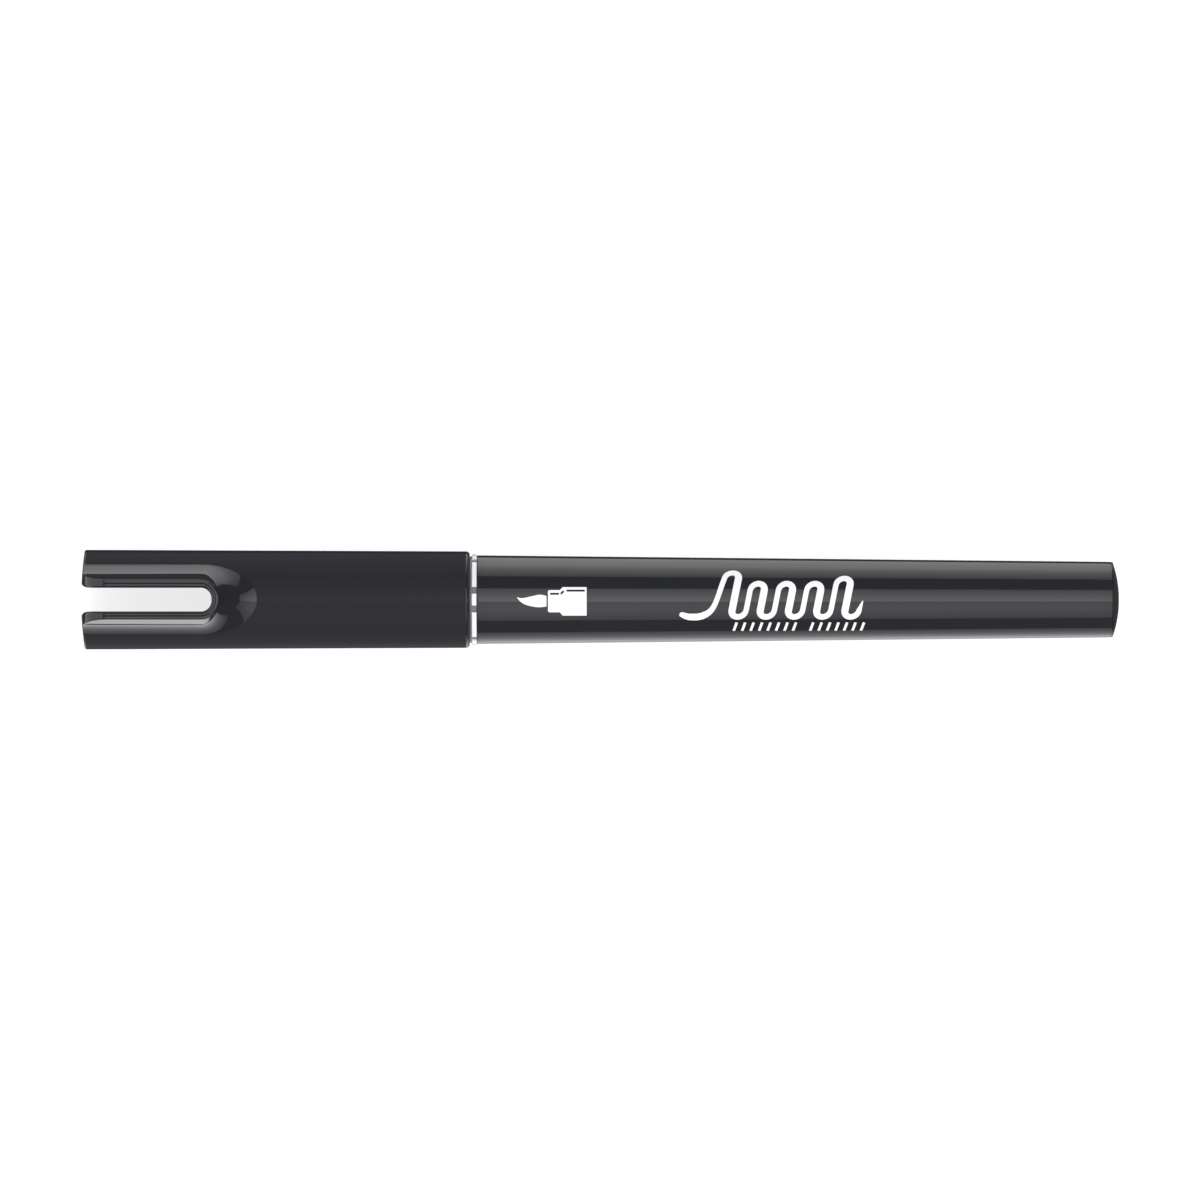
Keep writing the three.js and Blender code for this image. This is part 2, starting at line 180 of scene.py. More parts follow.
def rounded(corners, closed, steps=5):
    """Points of an outline whose corners are (x, y, radius): each radius becomes an arc."""
    points = []
    count = len(corners)
    for i, (x, y, radius) in enumerate(corners):
        here = Vector((x, y))
        if radius <= 0 or (not closed and i in (0, count - 1)):
            points.append((x, y))
            continue
        before = Vector(corners[i - 1][:2]) - here
        after = Vector(corners[(i + 1) % count][:2]) - here
        half = before.angle(after) / 2
        reach = min(radius / math.tan(half), 0.48 * before.length, 0.48 * after.length)
        arc_radius = reach * math.tan(half)
        before.normalize()
        after.normalize()
        centre = here + (before + after).normalized() * (arc_radius / math.sin(half))
        start = here + before * reach - centre
        end = here + after * reach - centre
        sweep = start.angle_signed(end)
        for k in range(steps + 1):
            spoke = start.copy()
            spoke.rotate(Matrix.Rotation(-sweep * k / steps, 2))
            points.append(tuple(centre + spoke))
    return points


def subdivided(profile, longest, closed):
    """The same profile with no stretch longer than the given length."""
    points = []
    pairs = list(zip(profile, profile[1:] + (profile[:1] if closed else [])))
    for (x0, y0), (x1, y1) in pairs:
        steps = max(1, math.ceil(math.hypot(x1 - x0, y1 - y0) / longest))
        points += [(x0 + (x1 - x0) * k / steps, y0 + (y1 - y0) * k / steps) for k in range(steps)]
    if not closed:
        points.append(profile[-1])
    return points


def revolved(name, profile, closed=False, segments=INSIDE_SEGMENTS):
    """A closed solid of revolution about X from (x, radius) points."""
    points = []
    rings = []
    for x, radius in profile:
        if radius < 1e-6:
            rings.append([len(points)] * segments)
            points.append((x, 0, 0))
            continue
        rings.append(list(range(len(points), len(points) + segments)))
        for k in range(segments):
            angle = 2 * math.pi * k / segments
            points.append((x, radius * math.sin(angle), radius * math.cos(angle)))
    if closed:
        rings.append(rings[0])
    faces = []
    for ring, following in zip(rings, rings[1:]):
        for k in range(segments):
            after = (k + 1) % segments
            corners = [ring[k], ring[after], following[after], following[k]]
            unique = list(dict.fromkeys(corners))
            if len(unique) > 2:
                faces.append(unique)
    return mesh_from(name, points, faces)


def arc_points(centre_x, centre_y, radius, from_degrees, to_degrees, steps):
    angles = [math.radians(from_degrees + (to_degrees - from_degrees) * k / steps) for k in range(steps + 1)]
    return [(centre_x + radius * math.cos(a), centre_y + radius * math.sin(a)) for a in angles]


def lofted(name, rings):
    """A closed solid through rings that each hold the same number of points."""
    size = len(rings[0])
    points = [point for ring in rings for point in ring]
    faces = [list(range(size)), list(range(len(points) - size, len(points)))]
    for i in range(len(rings) - 1):
        for k in range(size):
            after = (k + 1) % size
            faces.append([i * size + k, i * size + after, (i + 1) * size + after, (i + 1) * size + k])
    return mesh_from(name, points, faces)


def combine(piece, other, operation):
    """Joins or cuts piece with other, which is used up."""
    boolean = piece.modifiers.new("combine", "BOOLEAN")
    boolean.operation = operation
    boolean.solver = "MANIFOLD"
    boolean.object = other
    graph = bpy.context.evaluated_depsgraph_get()
    made = bpy.data.meshes.new_from_object(piece.evaluated_get(graph), depsgraph=graph)
    piece.modifiers.remove(boolean)
    piece.data = made
    bpy.data.objects.remove(other)
    return piece


def weld(piece):
    """Joins the points that cuts left almost on top of each other, so that no slivers stay between them."""
    shape = bmesh.new()
    shape.from_mesh(piece.data)
    bmesh.ops.remove_doubles(shape, verts=shape.verts, dist=WELD_DISTANCE * MM)
    shape.to_mesh(piece.data)
    shape.free()


# ---- Material helpers ----

class Shader:
    """A short way to add and join the nodes of one material."""

    def __init__(self, name):
        self.material = bpy.data.materials.new(name)
        self.material.use_nodes = True
        self.nodes = self.material.node_tree.nodes
        self.links = self.material.node_tree.links
        self.surface = self.nodes["Principled BSDF"]

    def set(self, **values):
        for name, value in values.items():
            self.surface.inputs[name.replace("_", " ")].default_value = value

    def node(self, kind, settings=None, **inputs):
        made = self.nodes.new(kind)
        for name, value in (settings or {}).items():
            setattr(made, name, value)
        for name, value in inputs.items():
            socket = made.inputs[name.replace("_", " ")]
            if isinstance(value, bpy.types.NodeSocket):
                self.links.new(value, socket)
            else:
                socket.default_value = value
        return made

    def place(self, stretch=(1, 1, 1)):
        """The piece's own position, stretched."""
        position = self.node("ShaderNodeTexCoord").outputs["Object"]
        mapping = self.node("ShaderNodeMapping", Vector=position, Scale=stretch)
        return mapping.outputs["Vector"]

    def noise(self, scale, detail=4.0, roughness=0.5, stretch=(1, 1, 1)):
        return self.node("ShaderNodeTexNoise", Vector=self.place(stretch), Scale=scale,
                         Detail=detail, Roughness=roughness).outputs["Fac"]

    def between(self, value, low, high):
        """A 0 to 1 value brought between low and high."""
        ranged = self.node("ShaderNodeMapRange", Value=value, To_Min=low, To_Max=high)
        return ranged.outputs["Result"]

    def colours(self, value, dark, light):
        mix = self.node("ShaderNodeMix", {"data_type": "RGBA"})
        self.links.new(value, mix.inputs[0])
        mix.inputs[6].default_value = (*dark, 1)
        mix.inputs[7].default_value = (*light, 1)
        return mix.outputs[2]

    def join(self, output, input_name):
        self.links.new(output, self.surface.inputs[input_name])

    def bump(self, height, strength, distance):
        bumped = self.node("ShaderNodeBump", Strength=strength, Distance=distance, Height=height)
        self.join(bumped.outputs["Normal"], "Normal")


def moulded_plastic(name, dark, light, roughness, specular, grain_size, grain_depth, ripple_depth=0.0,
                    flow_scale=90, flow_stretch=0.4):
    """Moulded plastic: slight colour and gloss variation, surface grain, and broad shallow ripples."""
    patch_scale = 260
    # Factors on the roughness.
    glossiest, dullest = 0.85, 1.15
    ripple_scale = 110
    ripple_stretch = 0.35
    shader = Shader(name)
    shader.set(IOR=1.5, Specular_IOR_Level=specular)
    flow = shader.noise(flow_scale, detail=3, stretch=(flow_stretch, 1, 1))
    shader.join(shader.colours(flow, dark, light), "Base Color")
    patches = shader.noise(patch_scale, detail=5)
    shader.join(shader.between(patches, roughness * glossiest, roughness * dullest), "Roughness")
    grain = shader.between(shader.noise(1 / grain_size, detail=2), 0, grain_depth)
    if ripple_depth:
        waves = shader.noise(ripple_scale, detail=1, stretch=(ripple_stretch, 1, 1))
        ripple = shader.between(waves, 0, ripple_depth)
        total = shader.node("ShaderNodeMath", {"operation": "ADD"})
        shader.links.new(grain, total.inputs[0])
        shader.links.new(ripple, total.inputs[1])
        grain = total.outputs[0]
    shader.bump(grain, 1.0, 1.0)
    return shader


# ---- Materials ----

CAP_SATIN_SHINE = 0.075


def cap_satin():
    """Fine satin plastic: almost all of it is matt, with a thin veil of reflection."""
    shader = moulded_plastic("cap_satin_plastic", (0.022, 0.0226, 0.0265), (0.0275, 0.0283, 0.0335),
                             roughness=0.06, specular=0.5, grain_size=0.00025, grain_depth=0.0000003,
                             flow_scale=700, flow_stretch=0.02)
    matt = shader.node("ShaderNodeBsdfDiffuse")
    colour = shader.surface.inputs["Base Color"].links[0].from_socket
    shader.links.new(colour, matt.inputs["Color"])
    mix = shader.node("ShaderNodeMixShader", Fac=CAP_SATIN_SHINE)
    shader.links.new(matt.outputs[0], mix.inputs[1])
    shader.links.new(shader.surface.outputs[0], mix.inputs[2])
    shader.links.new(mix.outputs[0], shader.nodes["Material Output"].inputs["Surface"])
    return shader.material


def cap_gloss():
    return moulded_plastic("cap_ridge_gloss", (0.0178, 0.0184, 0.022), (0.0203, 0.0211, 0.025),
                           roughness=0.06, specular=0.5, grain_size=0.0006, grain_depth=0.00000004).material


def barrel_gloss():
    return moulded_plastic("barrel_gloss_plastic", (0.0182, 0.0188, 0.0226), (0.0208, 0.0216, 0.0254),
                           roughness=0.06, specular=0.5, grain_size=0.0008, grain_depth=0.00000004,
                           ripple_depth=0.0000003).material


def white_gloss():
    shader = moulded_plastic("holder_white_plastic", (0.83, 0.83, 0.87), (0.87, 0.87, 0.9),
                             roughness=0.22, specular=0.5, grain_size=0.0004, grain_depth=0.0000008)
    shader.set(Subsurface_Weight=0.25, Subsurface_Scale=0.001)
    return shader.material


def recessed_collar_grey():
    """The grey on the collar's step and on the floors of its notches: these recessed faces of the white
    holder are coloured a darker grey than the white segments between them.
    """
    return moulded_plastic("collar_recess_grey", (0.15, 0.15, 0.16), (0.18, 0.18, 0.19),
                           roughness=0.35, specular=0.4, grain_size=0.0004, grain_depth=0.0000008).material


def cloudy_liner():
    shader = moulded_plastic("liner_natural_plastic", (0.74, 0.76, 0.78), (0.82, 0.83, 0.85),
                             roughness=0.32, specular=0.45, grain_size=0.0003, grain_depth=0.000001)
    shader.set(Subsurface_Weight=0.4, Subsurface_Scale=0.0015)
    return shader.material


def print_ink():
    shader = moulded_plastic("white_print_ink", (0.86, 0.86, 0.87), (0.93, 0.93, 0.94),
                             roughness=0.5, specular=0.25, grain_size=0.00012, grain_depth=0.0000015)
    return shader.material


def line_ink():
    return moulded_plastic("black_print_ink", (0.006, 0.006, 0.007), (0.009, 0.009, 0.01),
                           roughness=0.5, specular=0.2, grain_size=0.00012, grain_depth=0.0000015).material


def fibre(name, dark, light, streak_size, depth):
    """Fibres that run along the pen: fine streaks in colour and height."""
    shader = Shader(name)
    shader.set(Roughness=0.85, Specular_IOR_Level=0.15, Sheen_Weight=0.25, Sheen_Roughness=0.5)
    streaks = shader.noise(1 / streak_size, detail=6, roughness=0.65, stretch=(0.06, 1, 1))
    shader.join(shader.colours(streaks, dark, light), "Base Color")
    shader.bump(shader.between(streaks, 0, depth), 1.0, 1.0)
    return shader.material


def wrapping_film():
    shader = moulded_plastic("wrapping_film", (0.68, 0.7, 0.74), (0.78, 0.8, 0.84),
                             roughness=0.15, specular=0.5, grain_size=0.002, grain_depth=0.00001)
    shader.set(Transmission_Weight=0.5)
    return shader.material


# ---- The cap ----

def cap_radius_at(x):
    return CAP_LIP_RADIUS + (CAP_END_RADIUS - CAP_LIP_RADIUS) * (CAP_LIP_X - x) / CAP_LENGTH


def ridge_top_at(x):
    """The ridge's height: its front top corner is rounded in side view."""
    into_round = DOME_RIM_X + RIDGE_FRONT_RADIUS - x
    if into_round <= 0:
        return RIDGE_TOP_Z
    across = min(into_round, RIDGE_FRONT_RADIUS)
    return RIDGE_TOP_Z - RIDGE_FRONT_RADIUS + math.sqrt(RIDGE_FRONT_RADIUS ** 2 - across ** 2)


def slot_flare_at(x):
    """How far the slot's mouth has opened out on each side."""
    into_flare = CAP_END_X + SLOT_FLARE_LENGTH - x
    if into_flare <= 0:
        return 0.0
    share = min(into_flare / SLOT_FLARE_LENGTH, 1.0)
    return SLOT_FLARE_RISE * (1 - math.sqrt(1 - share ** 2))


def slot_stations(front_x, flared):
    """Points along the slot's wall as (x, y, turn), where turn is the way out from the slot."""
    corner_x = SLOT_ROOT_X - SLOT_CORNER_RADIUS
    corner_y = SLOT_HALF_WIDTH - SLOT_CORNER_RADIUS
    round_steps = 14
    fronts = [DOME_RIM_X + RIDGE_FRONT_RADIUS * (1 - math.cos(math.pi / 2 * k / round_steps))
              for k in range(round_steps + 1)]
    xs = [front_x] + fronts[1 if front_x == DOME_RIM_X else 0:]
    if flared:
        flare_end = CAP_END_X + SLOT_FLARE_LENGTH
        xs += [flare_end - SLOT_FLARE_LENGTH * math.sin(math.radians(a)) for a in range(0, 91, 9)]
    straight_steps = 18
    xs += [fronts[-1] + (corner_x - fronts[-1]) * k / straight_steps for k in range(1, straight_steps + 1)]
    half = [(x, SLOT_HALF_WIDTH + (slot_flare_at(x) if flared else 0), math.pi / 2) for x in sorted(set(xs))]
    corner_steps = 28
    for k in range(1, corner_steps + 1):
        turn = math.pi / 2 * (1 - k / corner_steps)
        half.append((corner_x + SLOT_CORNER_RADIUS * math.cos(turn),
                     corner_y + SLOT_CORNER_RADIUS * math.sin(turn), turn))
    root_steps = 3
    half += [(SLOT_ROOT_X, corner_y * (1 - k / root_steps), 0.0) for k in range(1, root_steps)]
    middle = [(SLOT_ROOT_X, 0.0, 0.0)]
    return half + middle + [(x, -y, -turn) for x, y, turn in reversed(half)]


def ridge_width_at(turn):
    """How wide the ridge is at its top: a little narrower round the slot's root than along its sides."""
    return RIDGE_ROOT_WIDTH + (RIDGE_TOP_WIDTH - RIDGE_ROOT_WIDTH) * math.sin(turn) ** 2


def fillet_arc(x, y, turn, steps):
    """The fillet at a station, as a ball rolling between the ridge's wall and the cap would leave it.

    Returns points down from the wall to the cap's surface.
    """
    out = Vector((math.cos(turn), math.sin(turn), 0))
    wall_normal = out * math.cos(RIDGE_WALL_DRAFT) + Vector((0, 0, math.sin(RIDGE_WALL_DRAFT)))

    def ball_centre(height):
        width = ridge_width_at(turn) + (RIDGE_TOP_Z - height) * math.tan(RIDGE_WALL_DRAFT)
        return Vector((x, y, height)) + out * width + wall_normal * RIDGE_FILLET_RADIUS

    # The height at which the ball just rests on the cap, found by halving the range that it is in.
    halvings = 50
    low, high = 0.0, RIDGE_TOP_Z + RIDGE_FILLET_RADIUS
    for _ in range(halvings):
        height = (low + high) / 2
        centre = ball_centre(height)
        if math.hypot(centre.y, centre.z) < cap_radius_at(centre.x) - RIDGE_SINK + RIDGE_FILLET_RADIUS:
            low = height
        else:
            high = height
    to_wall = -wall_normal
    to_cap = Vector((0, -centre.y, -centre.z)).normalized()
    sweep = to_wall.angle(to_cap)
    return [centre + RIDGE_FILLET_RADIUS * (to_wall * math.sin(sweep * (1 - k / steps))
                                            + to_cap * math.sin(sweep * k / steps)) / math.sin(sweep)
            for k in range(steps + 1)]


def ridge_section(x, y, turn):
    """One section of the ridge: from the slot over the top, down its wall and fillet, and back below."""
    fillet_steps = 60
    wall_steps = 8
    side_count = 44
    shortest_wall = 0.02
    # The top edge's rounding is a little narrower than it is deep, because the wall leans outwards.
    rounding_width = 0.92 * RIDGE_EDGE_RADIUS
    out = Vector((math.cos(turn), math.sin(turn), 0))
    base = Vector((x, y, 0))
    fillet = fillet_arc(x, y, turn, fillet_steps)
    top = ridge_top_at(x)
    below_edge = top - RIDGE_EDGE_RADIUS
    wall_foot = fillet[0].z
    if wall_foot < below_edge - shortest_wall:
        width = ridge_width_at(turn)
        heights = [below_edge + (wall_foot - below_edge) * k / wall_steps for k in range(wall_steps)]
        wall = [base + out * (width + (RIDGE_TOP_Z - z) * math.tan(RIDGE_WALL_DRAFT)) + Vector((0, 0, z))
                for z in heights]
        side = wall + fillet
    else:
        first = next(i for i, point in enumerate(fillet) if point.z < below_edge)
        above, below = fillet[first - 1], fillet[first]
        start = above.lerp(below, (above.z - below_edge) / (above.z - below.z))
        side = [start] + fillet[first:]
    side = even_points(side, side_count)
    edge_out = (side[0] - base).dot(out)
    land_end = edge_out - rounding_width
    section = [base + out * d + Vector((0, 0, top)) for d in (-RIDGE_INTO_SLOT, 0.0, land_end / 2)]
    round_steps = 7
    for k in range(round_steps):
        a = math.pi / 2 * (1 - k / round_steps)
        d = land_end + (edge_out - land_end) * math.cos(a)
        section.append(base + out * d + Vector((0, 0, below_edge + RIDGE_EDGE_RADIUS * math.sin(a))))
    section += side
    section.append(Vector((side[-1].x, side[-1].y, RIDGE_FLOOR_Z)))
    section.append(base + out * -RIDGE_INTO_SLOT + Vector((0, 0, RIDGE_FLOOR_Z)))
    return [tuple(point) for point in section]


def even_points(line, count):
    """The given number of points spaced evenly along a line of points."""
    lengths = [0.0]
    for a, b in zip(line, line[1:]):
        lengths.append(lengths[-1] + (b - a).length)
    spaced = []
    i = 0
    for k in range(count):
        target = lengths[-1] * k / (count - 1)
        while i < len(line) - 2 and lengths[i + 1] < target:
            i += 1
        share = (target - lengths[i]) / (lengths[i + 1] - lengths[i])
        spaced.append(line[i].lerp(line[i + 1], min(share, 1.0)))
    return spaced


def slot_cutter():
    """The slot as a solid that flares at its top and bottom, so that a cut with it rounds both edges."""
    below_cap_z = -12.0
    above_ridge_z = 14.0
    mouth_x = CAP_END_X - 3
    stations = slot_stations(CAP_END_X - 1, flared=True)
    steps = 6

    def level(grow, height_of):
        ring = []
        for x, y, turn in stations:
            ring.append((x + grow * math.cos(turn), y + grow * math.sin(turn), height_of(x, y)))
        return ring + [(mouth_x, ring[-1][1], ring[-1][2]), (mouth_x, ring[0][1], ring[0][2])]

    def underside(x, y):
        return -math.sqrt(cap_radius_at(x) ** 2 - min(abs(y), SLOT_HALF_WIDTH) ** 2)

    rings = [level(SLOT_BOTTOM_ROUND, lambda x, y: below_cap_z)]
    for k in range(steps + 1):
        a = math.pi / 2 * k / steps
        grow = SLOT_BOTTOM_ROUND * (1 - math.sin(a))
        rise = SLOT_BOTTOM_ROUND * (1 - math.cos(a))
        rings.append(level(grow, lambda x, y, rise=rise: underside(x, y) + rise))
    for k in range(steps + 1):
        a = math.pi / 2 * k / steps
        grow = SLOT_TOP_ROUND * (1 - math.cos(a))
        drop = SLOT_TOP_ROUND * (1 - math.sin(a))
        rings.append(level(grow, lambda x, y, drop=drop: ridge_top_at(x) - drop))
    rings.append(level(SLOT_TOP_ROUND, lambda x, y: above_ridge_z))
    return lofted("slot_cutter", rings)


def groove_cutter():
    """The fine V-shaped groove round the slot, in the ridge's top. It stops short of the prongs' ends."""
    rise = 0.3
    half_width = GROOVE_WIDTH / 2
    depth = half_width * math.tan(GROOVE_SLOPE)
    spread = half_width + rise / math.tan(GROOVE_SLOPE)
    section = [(GROOVE_OFFSET, -depth), (GROOVE_OFFSET + spread, rise), (GROOVE_OFFSET - spread, rise)]
    rings = []
    for x, y, turn in slot_stations(GROOVE_END_X, flared=False):
        if x >= GROOVE_END_X:
            rings.append([(x + d * math.cos(turn), y + d * math.sin(turn), RIDGE_TOP_Z + z)
                          for d, z in section])
    return lofted("groove", rings)


def cap_outside():
    """The cap's outside, without its slot: a shallow end dome, rounded ends and a slight taper."""
    edge_angle = math.degrees(math.asin((CAP_END_RADIUS - END_ROUND) / END_DOME_RADIUS))
    dome = arc_points(CAP_END_X + END_DOME_RADIUS, 0, END_DOME_RADIUS, 180, 180 - edge_angle, 16)
    end_x = dome[-1][0] + END_ROUND
    lip_x = CAP_LIP_X - LIP_ROUND
    side = [*arc_points(end_x, cap_radius_at(end_x) - END_ROUND, END_ROUND, 180, 90, 8),
            *arc_points(lip_x, cap_radius_at(lip_x) - LIP_ROUND, LIP_ROUND, 90, 0, 10)]
    profile = [*dome[:-1], *subdivided(side, 0.8, closed=False), (CAP_LIP_X, 0)]
    return revolved("cap", profile, segments=OUTSIDE_SEGMENTS)


def cap_bore():
    """The cap's inside: a tapered bore, a ring that sits behind the holder's bead, and a flared mouth."""
    taper = 0.05
    deep_radius = CAP_BORE_RADIUS - taper
    front_radius = CAP_BORE_RADIUS + taper
    ring_x = CAP_LIP_X - 1.8
    ring_half_top = 0.5
    ring_half_foot = 1.2
    ring_radius = HOLDER_RADIUS + 0.23
    deep_x = SLOT_ROOT_X + CAP_WALL
    mouth_x = CAP_LIP_X - 0.3
    past_lip_x = CAP_LIP_X + 1
    profile = rounded([
        (deep_x, 0, 0),
        (deep_x, deep_radius, 0.5),
        (ring_x - ring_half_foot, front_radius, 0.3),
        (ring_x - ring_half_top, ring_radius, 0.3),
        (ring_x + ring_half_top, ring_radius, 0.3),
        (ring_x + ring_half_foot, front_radius, 0.3),
        (mouth_x, front_radius, 0.2),
        (CAP_LIP_X, CAP_BORE_RADIUS + 0.25, 0),
        (past_lip_x, CAP_BORE_RADIUS + 1.05, 0),
        (past_lip_x, 0, 0),
    ], closed=False)
    return revolved("cap_bore", subdivided(profile, 3.0, closed=False))


def build_cap():
    """The cap: its sides and bore are satin, and its ridge, slot and both end edges are glossy."""
    materials = [cap_satin(), cap_gloss()]

    def finished(piece, is_glossy):
        for material in materials:
            piece.data.materials.append(material)
        for face in piece.data.polygons:
            face.material_index = int(is_glossy(face.center / MM))
        return piece

    def near_an_end(centre):
        return centre.x > CAP_LIP_X - LIP_ROUND or centre.x < DOME_RIM_X + END_ROUND

    cap = finished(cap_outside(), near_an_end)
    ridge_rings = [ridge_section(*station) for station in slot_stations(DOME_RIM_X, flared=False)]
    combine(cap, finished(lofted("ridge", ridge_rings), lambda centre: True), "UNION")
    combine(cap, finished(groove_cutter(), lambda centre: True), "DIFFERENCE")
    combine(cap, finished(slot_cutter(), lambda centre: True), "DIFFERENCE")
    combine(cap, finished(cap_bore(), lambda centre: False), "DIFFERENCE")
    weld(cap)
    smooth(cap, 18)
    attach(cap, "cap")
    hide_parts("cap_shell")


def build_liner():
    """The inner cap: a tube with a flange at each end, which seals round the nose and leaves the nib room."""
    seal = NOSE_RADIUS + RUNNING_GAP
    chamber = seal + 0.3
    wall = 0.8
    closed_x, open_x, flange = liner_low.x, liner_high.x, liner_high.y
    closed_flange_x = closed_x + 1.5
    open_flange_x = open_x - 3.2
    seal_front_x = NOSE_FRONT_X - 0.2
    chamber_rear_x = NOSE_FRONT_X - 0.6
    profile = rounded([
        (closed_x, 0, 0),
        (closed_x, flange, 0.25),
        (closed_flange_x, flange, 0.15),
        (closed_flange_x, chamber + wall, 0.2),
        (open_flange_x, chamber + wall, 0.2),
        (open_flange_x, flange, 0.15),
        (open_x, flange, 0.25),
        (open_x, seal + 0.35, 0.2),
        (open_x - 0.4, seal, 0.15),
        (seal_front_x, seal, 0.15),
        (chamber_rear_x, chamber, 0.2),
        (closed_x + wall, chamber, 0.8),
        (closed_x + wall, 0, 0),
    ], closed=False)
    liner = smooth(revolved("inner_cap", subdivided(profile, 2.0, closed=False)))
    liner.data.materials.append(cloudy_liner())
    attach(liner, "inner_cap")
    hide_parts("cap_liner")


# ---- The nib and its holder ----

def build_section():
    """The holder: nose, body with its bead, notched collar, and the spigot that fits in the barrel."""
    bush_bore = BUSH_RADIUS + RUNNING_GAP
    bush_stop_x = bush_low.x - RUNNING_GAP
    cup = film_high.y + RUNNING_GAP
    cup_x = core_low.x - 0.5
    bead_x = CAP_LIP_X - 3.4
    bead_half_top = 0.3
    bead_half_foot = 0.6
    bead_radius = HOLDER_RADIUS + 0.18
    rear_x = section_high.x
    profile = rounded([
        (NOSE_FRONT_X, NOSE_BORE_RADIUS, 0.12),
        (NOSE_FRONT_X, NOSE_RADIUS, 0.35),
        (NOSE_REAR_X, NOSE_RADIUS, 0.6),
        (HOLDER_FRONT_X, HOLDER_RADIUS, 0.8),
        (bead_x - bead_half_foot, HOLDER_RADIUS, 0.3),
        (bead_x - bead_half_top, bead_radius, 0.3),
        (bead_x + bead_half_top, bead_radius, 0.3),
        (bead_x + bead_half_foot, HOLDER_RADIUS, 0.3),
        (COLLAR_FRONT_X, HOLDER_RADIUS, 0.15),
        (COLLAR_FRONT_X, COLLAR_STEP_RADIUS, 0.08),
        (COLLAR_STEP_X, COLLAR_STEP_RADIUS, 0.04),
        (COLLAR_STEP_X, COLLAR_RADIUS, 0.15),
        (COLLAR_REAR_X, COLLAR_RADIUS, 0.06),
        (COLLAR_REAR_X, SPIGOT_RADIUS, 0.05),
        (rear_x, SPIGOT_RADIUS, 0.3),
        (rear_x, cup, 0.1),
        (cup_x, cup, 0.1),
        (cup_x, bush_bore, 0.1),
        (bush_stop_x, bush_bore, 0.1),
        (bush_stop_x, NOSE_BORE_RADIUS, 0.1),
    ], closed=True)
    section = revolved("nib_holder", subdivided(profile, 1.5, closed=True), closed=True,
                       segments=OUTSIDE_SEGMENTS)
    for pair in range(COLLAR_NOTCH_PAIRS):
        for side in (-1, 1):
            turn = pair * 2 * math.pi / COLLAR_NOTCH_PAIRS + side * COLLAR_NOTCH_ANGLE
            combine(section, notch_block(turn), "DIFFERENCE")
    smooth(section)
    section.data.materials.clear()
    section.data.materials.append(white_gloss())
    section.data.materials.append(recessed_collar_grey())
    # The collar's recessed faces, its step and the floors of its notches, take the darker grey; the rest of
    # the holder stays white.
    end_slack = 0.01
    innermost = HOLDER_RADIUS + 0.3
    outermost = COLLAR_STEP_RADIUS + NOTCH_SINK
    for face in section.data.polygons:
        x, y, z = face.center / MM
        is_collar = COLLAR_FRONT_X - end_slack < x < COLLAR_REAR_X - end_slack
        face.material_index = int(is_collar and innermost < math.hypot(y, z) < outermost)
    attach(section, "pen")
    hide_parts("front_section")


def notch_block(turn):
    """A block that cuts one notch through the collar's rim, turned about the pen's axis."""
    floor = COLLAR_STEP_RADIUS - NOTCH_SINK
    top = floor + 2
    half = COLLAR_NOTCH_WIDTH / 2
    past_collar_x = COLLAR_REAR_X + 0.3
    corners = [(-half, floor), (half, floor), (half, top), (-half, top)]
    rings = []
    for x in (COLLAR_STEP_X, past_collar_x):
        rings.append([(x, y * math.cos(turn) + z * math.sin(turn), z * math.cos(turn) - y * math.sin(turn))
                      for y, z in corners])
    return lofted("notch", rings)


def build_bush():
    bore = root_high.y + RUNNING_GAP
    profile = rounded([
        (bush_low.x, bore, 0.1),
        (bush_low.x, BUSH_RADIUS, 0.2),
        (bush_high.x, BUSH_RADIUS, 0.2),
        (bush_high.x, bore, 0.1),
    ], closed=True)
    bush = smooth(revolved("nib_bush_sleeve", subdivided(profile, 2.0, closed=True), closed=True))
    bush.data.materials.append(cloudy_liner())
    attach(bush, "pen")
    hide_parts("nib_bush")


def build_nib():
    """One flexible nib: a rod in the holder that runs out into a brush-shaped point."""
    tip_x = nib_low.x
    tip_radius = 0.28
    shoulder_x = NOSE_FRONT_X - 3.2
    start = Vector((tip_x + tip_radius, tip_radius))
    lead = Vector((tip_x + 2.4, 1.25))
    trail = Vector((shoulder_x - 2.2, NIB_RADIUS))
    shoulder = Vector((shoulder_x, NIB_RADIUS))
    brush = []
    steps = 40
    for k in range(1, steps + 1):
        t = k / steps
        point = (start * (1 - t) ** 3 + lead * 3 * t * (1 - t) ** 2
                 + trail * 3 * t * t * (1 - t) + shoulder * t ** 3)
        brush.append(tuple(point))
    point_round = arc_points(tip_x + tip_radius, 0, tip_radius, 180, 90, 8)
    rod = rounded([
        (*shoulder, 0),
        (NOSE_FRONT_X + 1.4, NIB_RADIUS, 0.4),
        (NOSE_FRONT_X + 2.0, root_high.y, 0.4),
        (root_high.x - 3, root_high.y, 0.3),
        (root_high.x, 0.4, 0.2),
        (root_high.x, 0, 0),
    ], closed=False)
    profile = [*point_round, *brush, *subdivided(rod, 0.4, closed=False)[1:]]
    nib = smooth(revolved("brush_nib", profile), 50)
    nib.data.materials.append(fibre("nib_felt", (0.012, 0.012, 0.014), (0.05, 0.05, 0.056),
                                    streak_size=0.00025, depth=0.00003))
    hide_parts("nib_tip", "nib_root")
    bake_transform(nib)


# ---- The barrel, the tail and the ink inside ----

def barrel_radius_at(x):
    share = (x - BARREL_FRONT_X) / (BARREL_REAR_X - BARREL_FRONT_X)
    return BARREL_FRONT_RADIUS + (BARREL_REAR_RADIUS - BARREL_FRONT_RADIUS) * share


